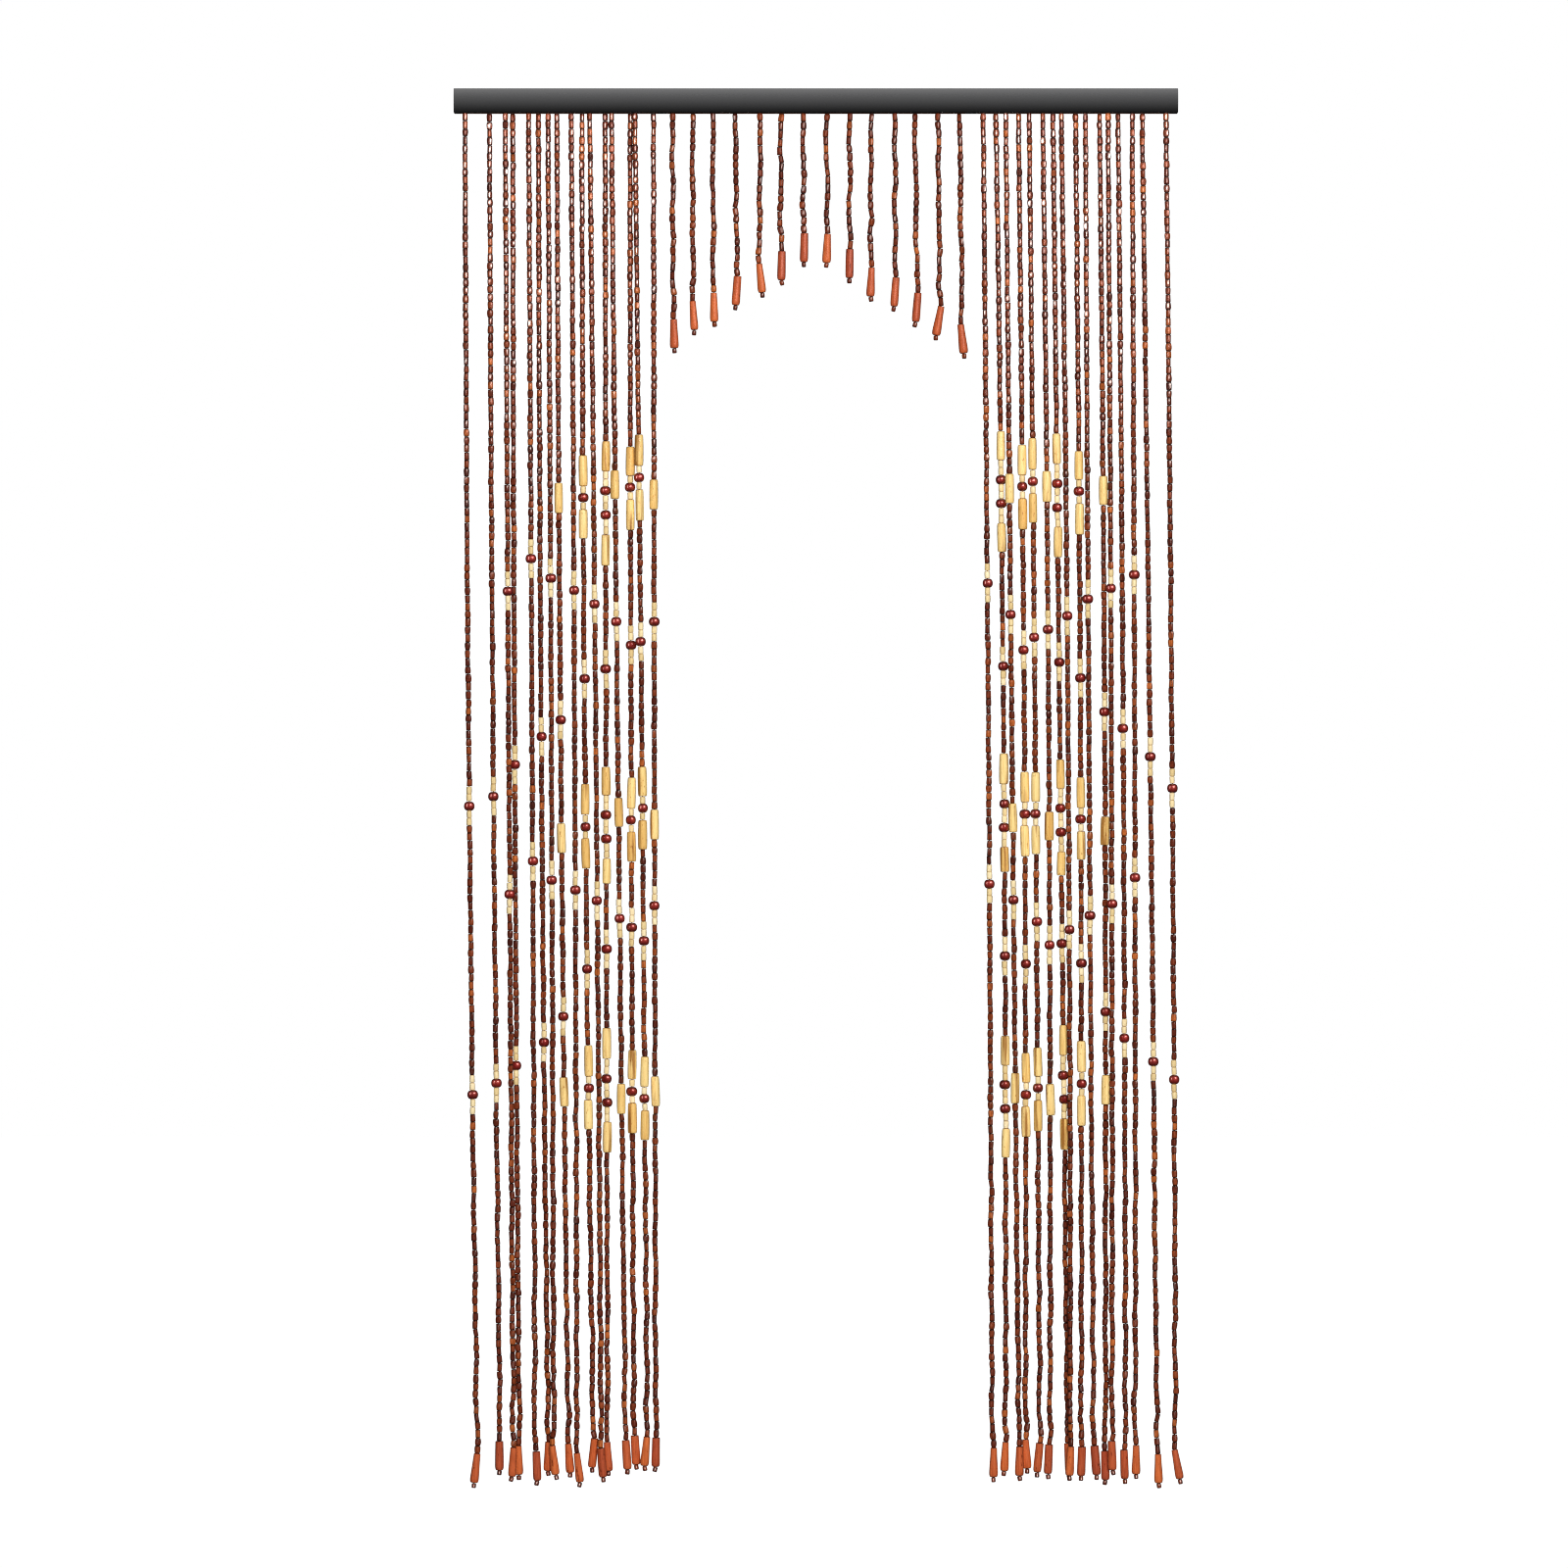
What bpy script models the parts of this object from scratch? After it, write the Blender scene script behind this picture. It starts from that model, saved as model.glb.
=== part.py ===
"""Bead curtain with its rail, in metres, +Z up.

The origin is the middle of the rail's flat back face, the curtain's front looks along -Y, and the strands
hang down. They hang in two rows, one behind the other, so that neighbours pass without touching. Each group
of strands is fused at its roots to a heading strip, which sits in a pocket in the rail's underside.
"""

import collections
import math

import bmesh
import bpy
import numpy as np

MM = 0.001
GAP = 0.0003  # between a strip and its pocket

# The rail
RAIL_WIDTH = 0.900
RAIL_HEIGHT = 0.030
RAIL_DEPTH = 0.028
RAIL_BOW = 0.004  # how far the front face swells past its edges
RAIL_ARC_STEPS = 10
RAIL_EDGE = 0.0008
RAIL_TOP = RAIL_HEIGHT / 2
RAIL_UNDERSIDE = -RAIL_HEIGHT / 2

# The two rows of strands, and the strips that hold them
ROWS_CENTRE_Y = -0.013
ROW_SPACING = 0.011
FRONT = ROWS_CENTRE_Y - ROW_SPACING / 2
BACK = ROWS_CENTRE_Y + ROW_SPACING / 2
POCKET_DEPTH = 0.008
STRIP_DEPTH = 0.016
STRIP_END = 0.006  # from the last strand to the strip's end
ROOT_RADIUS = 0.0016
ROOT_LENGTH = 0.0025
ROOT_SUNK = 0.003  # how far a root reaches into its strip

# Beads
STRAND_RADIUS = 0.0032
ROUND_RADIUS = 0.0064
ROUND_HEIGHT = 0.0113
ROUND_BELLY = 0.4  # share of its height at which it has its full radius
TUBE_RADIUS = 0.0053
TUBE_LENGTH = 0.0375
SHORT_TUBE_LENGTH = 0.031  # the lower tube of a long motif in the second band
TUBE_SHOULDER = 0.0012
END_TUBE_LENGTH = 0.0365
END_TUBE_TOP_RADIUS = 0.0040
END_TUBE_RADIUS = 0.0050
END_BEAD_RADIUS = 0.0028
END_BEAD_LENGTH = 0.0062
END_THREAD_RADIUS = 0.0012

# Motifs: the places of their beads and tubes, from the middle of the motif
PAIR_TUBE_START = 0.0145
LONG_ROUND_OFFSET = 0.0148
LONG_TUBE_START = 0.0392

# Where the chart's three places across are read, below the rail's top
TOP_DROP = 0.036
MIDDLE_DROP = 0.743
FOOT_DROP = 1.656
LONGEST_STEP = 0.180  # between two rings on a plain stretch
CUTTER_PAST = 0.005  # how far a pocket's cutter stands out of the underside

# The chart is in millimetres. across: the strand's place from the middle of the rail, at its top, middle
# and foot. rounds: the lone round beads, bands: the middles of the motifs and tube: the top of the end
# tube, all below the rail's top. lean: how far the end tube's foot stands to the right of its top.
Strand = collections.namedtuple("Strand", "row across rounds motif bands tube lean")

LEFT_CURTAIN = (
    Strand(FRONT, (-436, -432, -421), (892, 1251), None, (), 1697, -4),
    Strand(BACK, (-406, -402, -393), (880, 1237), None, (), 1682, -3),
    Strand(FRONT, (-386, -382, -376), (625, 1002), None, (), 1689, -2),
    Strand(BACK, (-377, -375, -369), (841, 1215), None, (), 1688, -1),
    Strand(FRONT, (-357, -353, -349), (585, 961), None, (), 1694, 2),
    Strand(BACK, (-345, -342, -333), (806, 1186), None, (), 1683, 0),
    Strand(FRONT, (-333, -329, -326), (609, 984), None, (), 1687, 3),
    Strand(BACK, (-322, -318, -308), (785, 1154), "lone", (509, 932, 1248), 1685, 1),
    Strand(FRONT, (-304, -300, -297), (624, 997), None, (), 1696, 3),
    Strand(BACK, (-291, -288, -277), (734, 1095), "pair", (509, 918, 1243), 1679, -1),
    Strand(FRONT, (-281, -274, -267), (641, 1010), None, (), 1690, 2),
    Strand(BACK, (-262, -261, -259), (722, 1070), "long", (515, 918, 1246), 1683, 0),
    Strand(FRONT, (-254, -247, -237), (663, 1032), "lone", (493, 900, 1256), 1680, 1),
    Strand(BACK, (-231, -230, -226), (692, 1043), "pair", (496, 910, 1247), 1675, 3),
    Strand(FRONT, (-225, -217, -210), (688, 1060), "pair", (484, 895, 1256), 1676, -2),
    Strand(BACK, (-202, -201, -199), (663, 1016), "lone", (505, 915, 1247), 1678, -1),
)
RIGHT_CURTAIN = (
    Strand(FRONT, (208, 214, 219), (615, 989), None, (), 1690, 3),
    Strand(BACK, (224, 233, 236), (718, 1079), "long", (501, 904, 1254), 1683, -1),
    Strand(FRONT, (236, 243, 252), (654, 1009), "lone", (498, 907, 1243), 1688, 1),
    Strand(BACK, (252, 259, 261), (698, 1089), "pair", (495, 902, 1251), 1680, 2),
    Strand(FRONT, (265, 272, 278), (683, 1036), "pair", (489, 902, 1243), 1684, -2),
    Strand(FRONT, (282, 289, 291), (673, 1065), "lone", (495, 917, 1257), 1686, -2),
    Strand(BACK, (295, 303, 313), (713, 1063), "long", (506, 910, 1242), 1685, 0),
    Strand(FRONT, (305, 313, 316), (656, 1046), None, (), 1688, 0),
    Strand(BACK, (323, 329, 330), (733, 1088), "pair", (501, 909, 1238), 1689, 1),
    Strand(FRONT, (335, 339, 345), (635, 1028), None, (), 1687, 3),
    Strand(BACK, (353, 359, 360), (775, 1148), "lone", (500, 923, 1245), 1694, -1),
    Strand(FRONT, (363, 367, 368), (622, 1014), None, (), 1681, 3),
    Strand(BACK, (376, 382, 385), (796, 1181), None, (), 1693, -1),
    Strand(FRONT, (393, 396, 397), (605, 981), None, (), 1686, 2),
    Strand(BACK, (406, 415, 424), (831, 1210), None, (), 1698, 3),
    Strand(FRONT, (435, 442, 447), (870, 1232), None, (), 1692, 4),
)
# The arch's strands are short and plain: across has their place at the top and at the end tube.
LEFT_ARCH = (
    Strand(FRONT, (-178, -177.5), (), None, (), 287, 1),
    Strand(BACK, (-153, -153), (), None, (), 264, 0),
    Strand(FRONT, (-128, -127), (), None, (), 254, 0),
    Strand(BACK, (-100, -98), (), None, (), 233, -2),
    Strand(FRONT, (-69, -70), (), None, (), 218, 2),
    Strand(BACK, (-43, -44), (), None, (), 202, 2),
    Strand(FRONT, (-16, -15), (), None, (), 180, 1),
)
RIGHT_ARCH = (
    Strand(BACK, (13, 15), (), None, (), 180, -3),
    Strand(FRONT, (42, 42), (), None, (), 200, 0),
    Strand(BACK, (69, 68), (), None, (), 222, 2),
    Strand(FRONT, (98, 99), (), None, (), 235, -1),
    Strand(BACK, (123, 126), (), None, (), 254, -2),
    Strand(FRONT, (152, 154), (), None, (), 271, -3),
    Strand(BACK, (179, 182), (), None, (), 293, 1),
)
CURTAINS = {
    "curtain_left": LEFT_CURTAIN,
    "arch_left": LEFT_ARCH,
    "arch_right": RIGHT_ARCH,
    "curtain_right": RIGHT_CURTAIN,
}


def clear_scene():
    for obj in list(bpy.data.objects):
        bpy.data.objects.remove(obj, do_unlink=True)


def material(name, colour, roughness, metallic):
    made = bpy.data.materials.new(name)
    made.use_nodes = True
    shader = made.node_tree.nodes["Principled BSDF"]
    shader.inputs["Base Color"].default_value = (*colour, 1)
    shader.inputs["Roughness"].default_value = roughness
    shader.inputs["Metallic"].default_value = metallic
    return made


def object_of(name, bm):
    """A scene object made from a bmesh, its faces turned outwards."""
    bmesh.ops.recalc_face_normals(bm, faces=bm.faces)
    mesh = bpy.data.meshes.new(name)
    bm.to_mesh(mesh)
    bm.free()
    obj = bpy.data.objects.new(name, mesh)
    bpy.context.scene.collection.objects.link(obj)
    return obj


def box_object(name, low, high):
    bm = bmesh.new()
    bmesh.ops.create_cube(bm, size=1)
    for vertex in bm.verts:
        for axis in range(3):
            vertex.co[axis] = low[axis] if vertex.co[axis] < 0 else high[axis]
    return object_of(name, bm)


def as_helper(obj):
    """A cutter or another operand, which isn't a part itself."""
    obj.hide_render = True
    obj.display_type = "WIRE"


def add_boolean(obj, operation, other):
    modifier = obj.modifiers.new(f"{operation.lower()} {other.name}", "BOOLEAN")
    modifier.operation = operation
    modifier.object = other
    modifier.solver = "EXACT"


def rail_outline():
    """The rail's section as (y, z) points: flat behind, above and below, and swelling in front."""
    radius = (RAIL_HEIGHT**2 / 4 + RAIL_BOW**2) / (2 * RAIL_BOW)
    centre_y = radius - RAIL_DEPTH
    half_angle = math.asin(RAIL_HEIGHT / 2 / radius)
    angles = np.linspace(-half_angle, half_angle, RAIL_ARC_STEPS + 1)
    front = [(centre_y - radius * math.cos(a), radius * math.sin(a)) for a in angles]
    return [(0, RAIL_UNDERSIDE)] + front + [(0, RAIL_TOP)]


def make_rail():
    bm = bmesh.new()
    end = bm.faces.new([bm.verts.new((-RAIL_WIDTH / 2, y, z)) for y, z in rail_outline()])
    extruded = bmesh.ops.extrude_face_region(bm, geom=[end])
    moved = [item for item in extruded["geom"] if isinstance(item, bmesh.types.BMVert)]
    bmesh.ops.translate(bm, vec=(RAIL_WIDTH, 0, 0), verts=moved)
    rail = object_of("rail", bm)
    rail.data.materials.append(material("rail_paint", (0.045, 0.045, 0.047), 0.45, 0.0))
    edge = rail.modifiers.new("soft edges", "BEVEL")
    edge.width = RAIL_EDGE
    edge.segments = 2
    edge.limit_method = "ANGLE"
    edge.angle_limit = math.radians(30)
    return rail


def strip_box(strands):
    """The lowest and highest corners of the heading strip that carries these strands."""
    first = strands[0].across[0] * MM - STRIP_END
    last = strands[-1].across[0] * MM + STRIP_END
    half_depth = STRIP_DEPTH / 2
    low = (first, ROWS_CENTRE_Y - half_depth, RAIL_UNDERSIDE)
    high = (last, ROWS_CENTRE_Y + half_depth, RAIL_UNDERSIDE + POCKET_DEPTH - GAP)
    return low, high


def cut_pocket(rail, name, strands):
    low, high = strip_box(strands)
    pocket = box_object(
        f"{name}_pocket",
        (low[0] - GAP, low[1] - GAP, RAIL_UNDERSIDE - CUTTER_PAST),
        (high[0] + GAP, high[1] + GAP, high[2] + GAP),
    )
    as_helper(pocket)
    add_boolean(rail, "DIFFERENCE", pocket)


def round_rings(middle):
    """A round bead as (drop, radius) rings."""
    half = ROUND_HEIGHT / 2
    return [
        (middle - half, STRAND_RADIUS),
        (middle - half * ROUND_BELLY, ROUND_RADIUS),
        (middle + half * ROUND_BELLY, ROUND_RADIUS),
        (middle + half, STRAND_RADIUS),
    ]


def tube_rings(top, length=TUBE_LENGTH):
    foot = top + length
    return [
        (top, STRAND_RADIUS),
        (top + TUBE_SHOULDER, TUBE_RADIUS),
        (foot - TUBE_SHOULDER, TUBE_RADIUS),
        (foot, STRAND_RADIUS),
    ]


def motif_rings(motif, middle, lower_length):
    """lone: one tube. pair: a round bead between two tubes. long: two round beads between two tubes."""
    if motif == "lone":
        return tube_rings(middle - TUBE_LENGTH / 2)
    start = PAIR_TUBE_START if motif == "pair" else LONG_TUBE_START
    offsets = [0] if motif == "pair" else [-LONG_ROUND_OFFSET, LONG_ROUND_OFFSET]
    rings = tube_rings(middle - start - TUBE_LENGTH)
    for offset in offsets:
        rings += round_rings(middle + offset)
    return rings + tube_rings(middle + start, lower_length)


def end_rings(top):
    """The flared end tube and the small bead that stops it."""
    foot = top + END_TUBE_LENGTH
    bead_foot = foot + END_BEAD_LENGTH
    return [
        (top, STRAND_RADIUS),
        (top + TUBE_SHOULDER, END_TUBE_TOP_RADIUS),
        (foot - 2 * TUBE_SHOULDER, END_TUBE_RADIUS),
        (foot, END_THREAD_RADIUS),
        (foot + TUBE_SHOULDER, END_BEAD_RADIUS),
        (bead_foot - TUBE_SHOULDER, END_BEAD_RADIUS),
        (bead_foot, END_THREAD_RADIUS),
    ]


def with_plain_rings(rings):
    """The same rings, with more of them where a plain stretch is too long to follow the sway."""
    filled = rings[:1]
    for drop, radius in rings[1:]:
        last_drop = filled[-1][0]
        steps = math.ceil((drop - last_drop) / LONGEST_STEP)
        between = np.linspace(last_drop, drop, steps + 1)[1:-1]
        filled += [(place, STRAND_RADIUS) for place in between]
        filled.append((drop, radius))
    return filled


def strand_rings(strand):
    """A whole strand, from its root inside the strip to its end bead, as (drop, radius) rings."""
    features = [round_rings(drop * MM) for drop in strand.rounds]
    for band, drop in enumerate(strand.bands, start=1):
        shorter = strand.motif == "long" and band == 2
        lower_length = SHORT_TUBE_LENGTH if shorter else TUBE_LENGTH
        features.append(motif_rings(strand.motif, drop * MM, lower_length))
    rings = [
        (RAIL_HEIGHT - ROOT_SUNK, ROOT_RADIUS),
        (RAIL_HEIGHT + ROOT_LENGTH / 2, ROOT_RADIUS),
        (RAIL_HEIGHT + ROOT_LENGTH, STRAND_RADIUS),
    ]
    for feature in sorted(features):
        rings += feature
    return with_plain_rings(rings + end_rings(strand.tube * MM))


def strand_x(strand, drop):
    """The strand's place across: a smooth curve through the charted places, then the end tube's lean."""
    if len(strand.across) == 3:
        drops = (TOP_DROP, MIDDLE_DROP, FOOT_DROP)
    else:
        drops = (TOP_DROP, strand.tube * MM)
    curve = np.polyfit(drops, np.array(strand.across) * MM, len(drops) - 1)
    past_tube_top = max(0, drop - strand.tube * MM)
    return np.polyval(curve, drop) + strand.lean * MM * past_tube_top / END_TUBE_LENGTH


def add_strand(bm, strand):
    """A four-sided strand, its corners to the front, the back and both sides."""
    last_ring = None
    for drop, radius in strand_rings(strand):
        x = strand_x(strand, drop)
        z = RAIL_TOP - drop
        corners = ((radius, 0), (0, radius), (-radius, 0), (0, -radius))
        ring = [bm.verts.new((x + dx, strand.row + dy, z)) for dx, dy in corners]
        if last_ring is None:
            bm.faces.new(ring)
        else:
            for i in range(4):
                after = (i + 1) % 4
                bm.faces.new((last_ring[i], last_ring[after], ring[after], ring[i]))
        last_ring = ring
    bm.faces.new(last_ring)


def make_curtain(name, strands, colour):
    """A heading strip with its strands fused to it."""
    low, high = strip_box(strands)
    curtain = box_object(name, low, high)
    curtain.data.materials.append(colour)
    bm = bmesh.new()
    for strand in strands:
        add_strand(bm, strand)
    hanging = object_of(f"{name}_strands", bm)
    as_helper(hanging)
    add_boolean(curtain, "UNION", hanging)


def main():
    clear_scene()
    rail = make_rail()
    bead_brown = material("bead_brown", (0.11, 0.025, 0.01), 0.35, 0.0)
    for name, strands in CURTAINS.items():
        cut_pocket(rail, name, strands)
        make_curtain(name, strands, bead_brown)


main()
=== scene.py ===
"""The looks of the bead curtain: every bead, tube and thread as a mesh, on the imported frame's strands.

Lengths are in metres, +Z up, and the curtain's front looks along -Y. A drop is a length below the
rail's top.
"""

import collections
import math

import bpy
import numpy as np
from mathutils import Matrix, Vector


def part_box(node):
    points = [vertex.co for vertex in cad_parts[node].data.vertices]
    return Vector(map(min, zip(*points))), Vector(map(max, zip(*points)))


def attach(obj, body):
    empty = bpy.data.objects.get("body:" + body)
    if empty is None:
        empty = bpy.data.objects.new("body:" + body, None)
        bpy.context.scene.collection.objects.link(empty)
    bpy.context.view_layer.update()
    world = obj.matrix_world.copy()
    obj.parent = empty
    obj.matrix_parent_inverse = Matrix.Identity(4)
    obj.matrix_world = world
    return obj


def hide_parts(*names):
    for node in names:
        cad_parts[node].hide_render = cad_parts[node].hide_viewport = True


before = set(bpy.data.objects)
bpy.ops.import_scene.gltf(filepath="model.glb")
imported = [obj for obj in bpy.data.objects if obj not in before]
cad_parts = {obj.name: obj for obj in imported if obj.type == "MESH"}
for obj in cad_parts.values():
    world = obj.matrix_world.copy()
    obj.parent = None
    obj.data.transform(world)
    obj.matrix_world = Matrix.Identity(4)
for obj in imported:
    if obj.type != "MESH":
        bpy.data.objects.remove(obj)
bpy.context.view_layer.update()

MM = 0.001
SEED = 7

# The rail's section and the rows of strands under it, as in the frame
RAIL_LOW, RAIL_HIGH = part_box("rail")
RAIL_TOP = RAIL_HIGH.z
RAIL_UNDERSIDE = RAIL_LOW.z
RAIL_BOW = 0.004  # how far the front face swells past its edges
RAIL_ARC_POINTS = 33
RAIL_EDGE = 0.0006  # how wide its rounded edges are
RAIL_EDGE_SEGMENTS = 3
ROWS_CENTRE_Y = -0.013
ROW_SPACING = 0.011
FRONT = ROWS_CENTRE_Y - ROW_SPACING / 2
BACK = ROWS_CENTRE_Y + ROW_SPACING / 2
STRIP_DEPTH = 0.016
STRIP_END = 0.006
STRIP_HEIGHT = 0.0077
POCKET_GAP = 0.0003  # between a strip and its pocket
CUTTER_PAST = 0.005  # how far a pocket's cutter stands out of the underside
CHART_ABOVE = 0.0008  # the chart's drops begin this far above the rail's top
FIRST_BEAD_GAP = 0.0003
ROOT_DROP = RAIL_TOP + CHART_ABOVE - RAIL_UNDERSIDE + FIRST_BEAD_GAP

# Beads: radii and lengths
THREAD_RADIUS = 0.0008
THREAD_SIDES = 5
BEAD_PITCH = 0.0098
BEAD_GAP = 0.0002
BARREL_RADIUS = 0.0035
BARREL_SHARE = 0.55  # of the brown beads
SLIM_RADIUS = 0.0030
PALE_RADIUS = 0.0034
ROUND_RADIUS = 0.0066
ROUND_HEIGHT = 0.0116
TUBE_RADIUS = 0.0055
TUBE_LENGTH = 0.0375
SHORT_TUBE_LENGTH = 0.031
END_TUBE_LENGTH = 0.0365
END_TUBE_RADIUS = 0.0054
STRAIGHT_END_TUBE_RADIUS = 0.0052
STRAIGHT_SHARE = 0.45  # of the end tubes
END_BEAD_LENGTH = 0.0062
END_BEAD_RADIUS = 0.0028

# How uneven the beads are, as shares of their own size
SMALL_LENGTH_SPREAD = 0.08
TUBE_LENGTH_SPREAD = 0.05
RADIUS_SPREAD = 0.05
OFF_THREAD = 0.06  # how far a bead sits beside its thread, as a share of its radius

# What makes a bead's section uneven: an oval, three corners, and a swell along the bead
OVAL_SHARE = 0.5
CORNERS_SHARE = 0.6
SWELL_SHARE = 0.4
SWELL_TURN = 2.5  # radians of the swell's wave over half the bead's length

# Edges stay sharp from these angles between their faces.
SHARP_BEAD = math.radians(48)
SHARP_THREAD = math.radians(80)
SHARP_RAIL = math.radians(25)

CELL_MARGIN = 0.04  # around a bead's part of its cell in the flat map, as a share of the cell

# Tone runs from the darkest to the palest bead of its material, and gloss from dull to bright,
# both from 0 to 1.
TONE_RANGES = {"straight_end_tube": (0.0, 0.55), "end_tube": (0.25, 0.95), "end_bead": (0.0, 0.8)}
GLOSS_RANGES = {"end_bead": (0.6, 1.0)}
FULL_RANGE = (0.0, 1.0)

# How freely a strand kinks at its foot, and the length of strand below that halves the kinks
LOOSE_KINK = 0.0012
LOOSE_LENGTH = 0.25

# The parts of a kink, as shares of its size: a wave down the strand and a random step at each joint
KINK_WAVE = 0.9
KINK_WAVE_LENGTHS = (0.010, 0.020)  # shortest and longest, for each radian of the wave
KINK_STEP_ACROSS = 0.55
KINK_STEP_DEEP = 0.4
KINK_DEEP = 0.5  # kinks towards the wall, as a share of those across

# Motifs: the places of their beads and tubes, from the middle of the motif
LONE_REACH = 0.0241
PAIR_TUBE_START = 0.0145
LONG_ROUND_OFFSET = 0.0148
LONG_TUBE_START = 0.0392

# Where the chart's three places across are read
TOP_DROP = 0.036
MIDDLE_DROP = 0.743
FOOT_DROP = 1.656

# The chart is in millimetres. across: the strand's place from the middle of the rail, at its top, middle
# and foot. rounds: the lone round beads, bands: the middles of the motifs and tube: the top of the end
# tube, all below the rail's top. lean: how far the end tube's foot stands to the right of its top.
Strand = collections.namedtuple("Strand", "row across rounds motif bands tube lean")

LEFT_CURTAIN = (
    Strand(FRONT, (-436, -432, -421), (892, 1251), None, (), 1697, -4),
    Strand(BACK, (-406, -402, -393), (880, 1237), None, (), 1682, -3),
    Strand(FRONT, (-386, -382, -376), (625, 1002), None, (), 1689, -2),
    Strand(BACK, (-377, -375, -369), (841, 1215), None, (), 1688, -1),
    Strand(FRONT, (-357, -353, -349), (585, 961), None, (), 1694, 2),
    Strand(BACK, (-345, -342, -333), (806, 1186), None, (), 1683, 0),
    Strand(FRONT, (-333, -329, -326), (609, 984), None, (), 1687, 3),
    Strand(BACK, (-322, -318, -308), (785, 1154), "lone", (509, 932, 1248), 1685, 1),
    Strand(FRONT, (-304, -300, -297), (624, 997), None, (), 1696, 3),
    Strand(BACK, (-291, -288, -277), (734, 1095), "pair", (509, 918, 1243), 1679, -1),
    Strand(FRONT, (-281, -274, -267), (641, 1010), None, (), 1690, 2),
    Strand(BACK, (-262, -261, -259), (722, 1070), "long", (515, 918, 1246), 1683, 0),
    Strand(FRONT, (-254, -247, -237), (663, 1032), "lone", (493, 900, 1256), 1680, 1),
    Strand(BACK, (-231, -230, -226), (692, 1043), "pair", (496, 910, 1247), 1675, 3),
    Strand(FRONT, (-225, -217, -210), (688, 1060), "pair", (484, 895, 1256), 1676, -2),
    Strand(BACK, (-202, -201, -199), (663, 1016), "lone", (505, 915, 1247), 1678, -1),
)
RIGHT_CURTAIN = (
    Strand(FRONT, (208, 214, 219), (615, 989), None, (), 1690, 3),
    Strand(BACK, (224, 233, 236), (718, 1079), "long", (501, 904, 1254), 1683, -1),
    Strand(FRONT, (236, 243, 252), (654, 1009), "lone", (498, 907, 1243), 1688, 1),
    Strand(BACK, (252, 259, 261), (698, 1089), "pair", (495, 902, 1251), 1680, 2),
    Strand(FRONT, (265, 272, 278), (683, 1036), "pair", (489, 902, 1243), 1684, -2),
    Strand(FRONT, (282, 289, 291), (673, 1065), "lone", (495, 917, 1257), 1686, -2),
    Strand(BACK, (295, 303, 313), (713, 1063), "long", (506, 910, 1242), 1685, 0),
    Strand(FRONT, (305, 313, 316), (656, 1046), None, (), 1688, 0),
    Strand(BACK, (323, 329, 330), (733, 1088), "pair", (501, 909, 1238), 1689, 1),
    Strand(FRONT, (335, 339, 345), (635, 1028), None, (), 1687, 3),
    Strand(BACK, (353, 359, 360), (775, 1148), "lone", (500, 923, 1245), 1694, -1),
    Strand(FRONT, (363, 367, 368), (622, 1014), None, (), 1681, 3),
    Strand(BACK, (376, 382, 385), (796, 1181), None, (), 1693, -1),
    Strand(FRONT, (393, 396, 397), (605, 981), None, (), 1686, 2),
    Strand(BACK, (406, 415, 424), (831, 1210), None, (), 1698, 3),
    Strand(FRONT, (435, 442, 447), (870, 1232), None, (), 1692, 4),
)
# The arch's strands are short and plain: across has their place at the top and at the end tube.
LEFT_ARCH = (
    Strand(FRONT, (-178, -177.5), (), None, (), 287, 1),
    Strand(BACK, (-153, -153), (), None, (), 264, 0),
    Strand(FRONT, (-128, -127), (), None, (), 254, 0),
    Strand(BACK, (-100, -98), (), None, (), 233, -2),
    Strand(FRONT, (-69, -70), (), None, (), 218, 2),
    Strand(BACK, (-43, -44), (), None, (), 202, 2),
    Strand(FRONT, (-16, -15), (), None, (), 180, 1),
)
RIGHT_ARCH = (
    Strand(BACK, (13, 15), (), None, (), 180, -3),
    Strand(FRONT, (42, 42), (), None, (), 200, 0),
    Strand(BACK, (69, 68), (), None, (), 222, 2),
    Strand(FRONT, (98, 99), (), None, (), 235, -1),
    Strand(BACK, (123, 126), (), None, (), 254, -2),
    Strand(FRONT, (152, 154), (), None, (), 271, -3),
    Strand(BACK, (179, 182), (), None, (), 293, 1),
)
CURTAINS = {
    "curtain_left": LEFT_CURTAIN,
    "arch_left": LEFT_ARCH,
    "arch_right": RIGHT_ARCH,
    "curtain_right": RIGHT_CURTAIN,
}

# Turned shapes. Each profile runs from the top to the foot as (share of the radius, place from 1 to -1).
# A bead's hole is as wide as the thread, so its ends close on the thread. uneven: how far the section is
# from a true circle, as a share of the radius.
Shape = collections.namedtuple("Shape", "radius sides uneven profile")

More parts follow.
